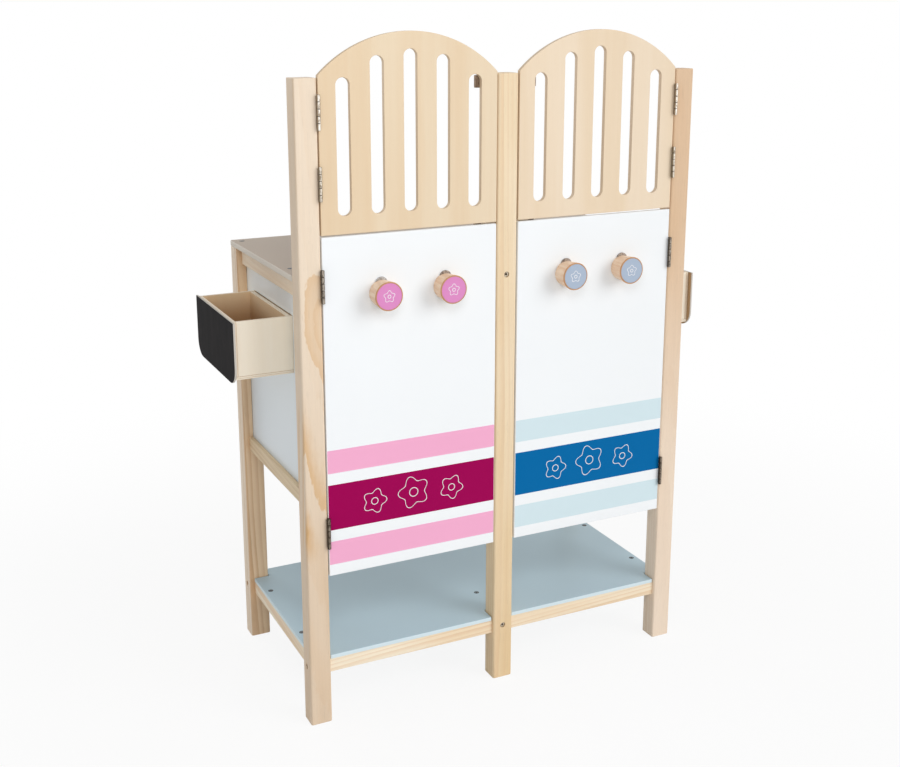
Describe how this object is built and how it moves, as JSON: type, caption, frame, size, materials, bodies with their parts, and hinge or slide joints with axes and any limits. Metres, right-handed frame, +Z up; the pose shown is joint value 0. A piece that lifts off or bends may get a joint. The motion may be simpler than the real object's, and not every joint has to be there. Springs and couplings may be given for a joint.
{
  "type": "toy barn with opening doors",
  "caption": "Free-standing wooden play stable with hinged doors under slotted arched gates, a rear counter, a low shelf and side drawers.",
  "frame": {"origin": "middle of the footprint, drawers drawn out and knobs included, on the floor", "axes": "+Z up, +Y from the door side to the counter side, +X to the right as seen from the door side"},
  "size_m": [0.786, 0.359, 1.0045],
  "materials": {
    "pine": "sanded pine, clear matt varnish",
    "gate_plywood": "birch plywood, clear satin varnish",
    "knob_wood": "turned beech with a coloured disc on the face",
    "door_white": "white satin paint with plain stripes",
    "panel_white": "white satin paint",
    "counter_paint": "taupe satin paint",
    "shelf_paint": "grey-blue satin paint",
    "black_board": "matt black board paint",
    "drawer_plywood": "bare plywood",
    "hinge_metal": "aged dark plating"
  },
  "bodies": {
    "barn_frame": {"front_left_post": "pine", "front_centre_post": "pine", "front_right_post": "pine", "rear_left_post": "pine", "rear_right_post": "pine", "counter_top": "counter_paint", "counter_centre_rail": "pine", "shelf_board": "shelf_paint", "shelf_rear_rail": "pine", "shelf_centre_rail": "pine", "shelf_front_rail_left": "pine", "shelf_side_rail_left": "pine", "upper_side_rail_left": "pine", "lower_side_rail_left": "pine", "side_panel_left": "panel_white", "upper_catch_left": "pine", "lower_catch_left": "pine", "gate_left_upper_hinge_fixed": "hinge_metal", "gate_left_lower_hinge_fixed": "hinge_metal", "door_left_upper_hinge_fixed": "hinge_metal", "door_left_lower_hinge_fixed": "hinge_metal", "shelf_front_rail_right": "pine", "shelf_side_rail_right": "pine", "upper_side_rail_right": "pine", "lower_side_rail_right": "pine", "side_panel_right": "panel_white", "upper_catch_right": "pine", "lower_catch_right": "pine", "gate_right_upper_hinge_fixed": "hinge_metal", "gate_right_lower_hinge_fixed": "hinge_metal", "door_right_upper_hinge_fixed": "hinge_metal", "door_right_lower_hinge_fixed": "hinge_metal"},
    "left_gate": {"gate_left": "gate_plywood", "gate_left_upper_hinge_moving": "hinge_metal", "gate_left_lower_hinge_moving": "hinge_metal"},
    "left_door": {"door_left": "door_white", "door_left_upper_hinge_moving": "hinge_metal", "door_left_lower_hinge_moving": "hinge_metal", "door_left_outer_knob": "knob_wood", "door_left_inner_knob": "knob_wood"},
    "right_gate": {"gate_right": "gate_plywood", "gate_right_upper_hinge_moving": "hinge_metal", "gate_right_lower_hinge_moving": "hinge_metal"},
    "right_door": {"door_right": "door_white", "door_right_upper_hinge_moving": "hinge_metal", "door_right_lower_hinge_moving": "hinge_metal", "door_right_outer_knob": "knob_wood", "door_right_inner_knob": "knob_wood"},
    "left_drawer": {"drawer_left_front_plate": "black_board", "drawer_left_front_wall": "drawer_plywood", "drawer_left_near_wall": "drawer_plywood", "drawer_left_far_wall": "drawer_plywood", "drawer_left_back_wall": "drawer_plywood", "drawer_left_bottom": "drawer_plywood"},
    "right_drawer": {"drawer_right_front_plate": "black_board", "drawer_right_front_wall": "drawer_plywood", "drawer_right_near_wall": "drawer_plywood", "drawer_right_far_wall": "drawer_plywood", "drawer_right_back_wall": "drawer_plywood", "drawer_right_bottom": "drawer_plywood"}
  },
  "joints": [
    {"name": "left_gate_hinge", "type": "hinge", "parent": "barn_frame", "child": "left_gate", "pos_m": [-0.28675, -0.1533, 0.852], "axis": [0, 0, -1], "range_deg": [0, 175]},
    {"name": "left_door_hinge", "type": "hinge", "parent": "barn_frame", "child": "left_door", "pos_m": [-0.28675, -0.1533, 0.483], "axis": [0, 0, -1], "range_deg": [0, 175]},
    {"name": "right_gate_hinge", "type": "hinge", "parent": "barn_frame", "child": "right_gate", "pos_m": [0.28675, -0.1533, 0.852], "axis": [0, 0, 1], "range_deg": [0, 175]},
    {"name": "right_door_hinge", "type": "hinge", "parent": "barn_frame", "child": "right_door", "pos_m": [0.28675, -0.1533, 0.483], "axis": [0, 0, 1], "range_deg": [0, 175]},
    {"name": "left_drawer_slide", "type": "slide", "parent": "barn_frame", "child": "left_drawer", "axis": [1, 0, 0], "range_m": [0, 0.0862]},
    {"name": "right_drawer_slide", "type": "slide", "parent": "barn_frame", "child": "right_drawer", "axis": [-1, 0, 0], "range_m": [0, 0.0862]}
  ]
}
